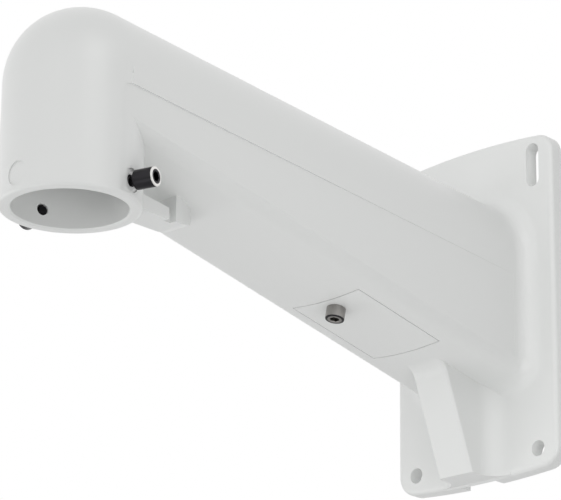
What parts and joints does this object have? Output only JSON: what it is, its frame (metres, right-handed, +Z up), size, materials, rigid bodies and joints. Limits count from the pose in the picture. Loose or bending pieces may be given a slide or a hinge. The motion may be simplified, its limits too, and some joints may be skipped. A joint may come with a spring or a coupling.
{
  "type": "camera wall bracket",
  "caption": "Cast wall bracket with a plate, a tapering hollow arm that bends down into a round collar, a side duct for cables, a covered opening underneath and a safety-rope lug.",
  "frame": {"origin": "middle of the four bolt places, on the plane of the wall plate's back", "axes": "+Y into the wall (the arm reaches towards -Y), +Z up, +X to the right seen from in front of the wall; the collar opens towards -Z"},
  "size_m": [0.097, 0.3, 0.1676],
  "materials": {
    "painted_casting": "fine powder coat, satin off-white",
    "painted_cover": "fine powder coat, satin off-white",
    "seal_rubber": "matte black",
    "screw_steel": "dark stainless, turned"
  },
  "bodies": {
    "root": {"arm_casting": "painted_casting", "access_cover": "painted_cover", "cover_seal": "seal_rubber", "cover_screw": "screw_steel", "collar_screw_right": "screw_steel", "collar_screw_left": "screw_steel"}
  },
  "joints": []
}
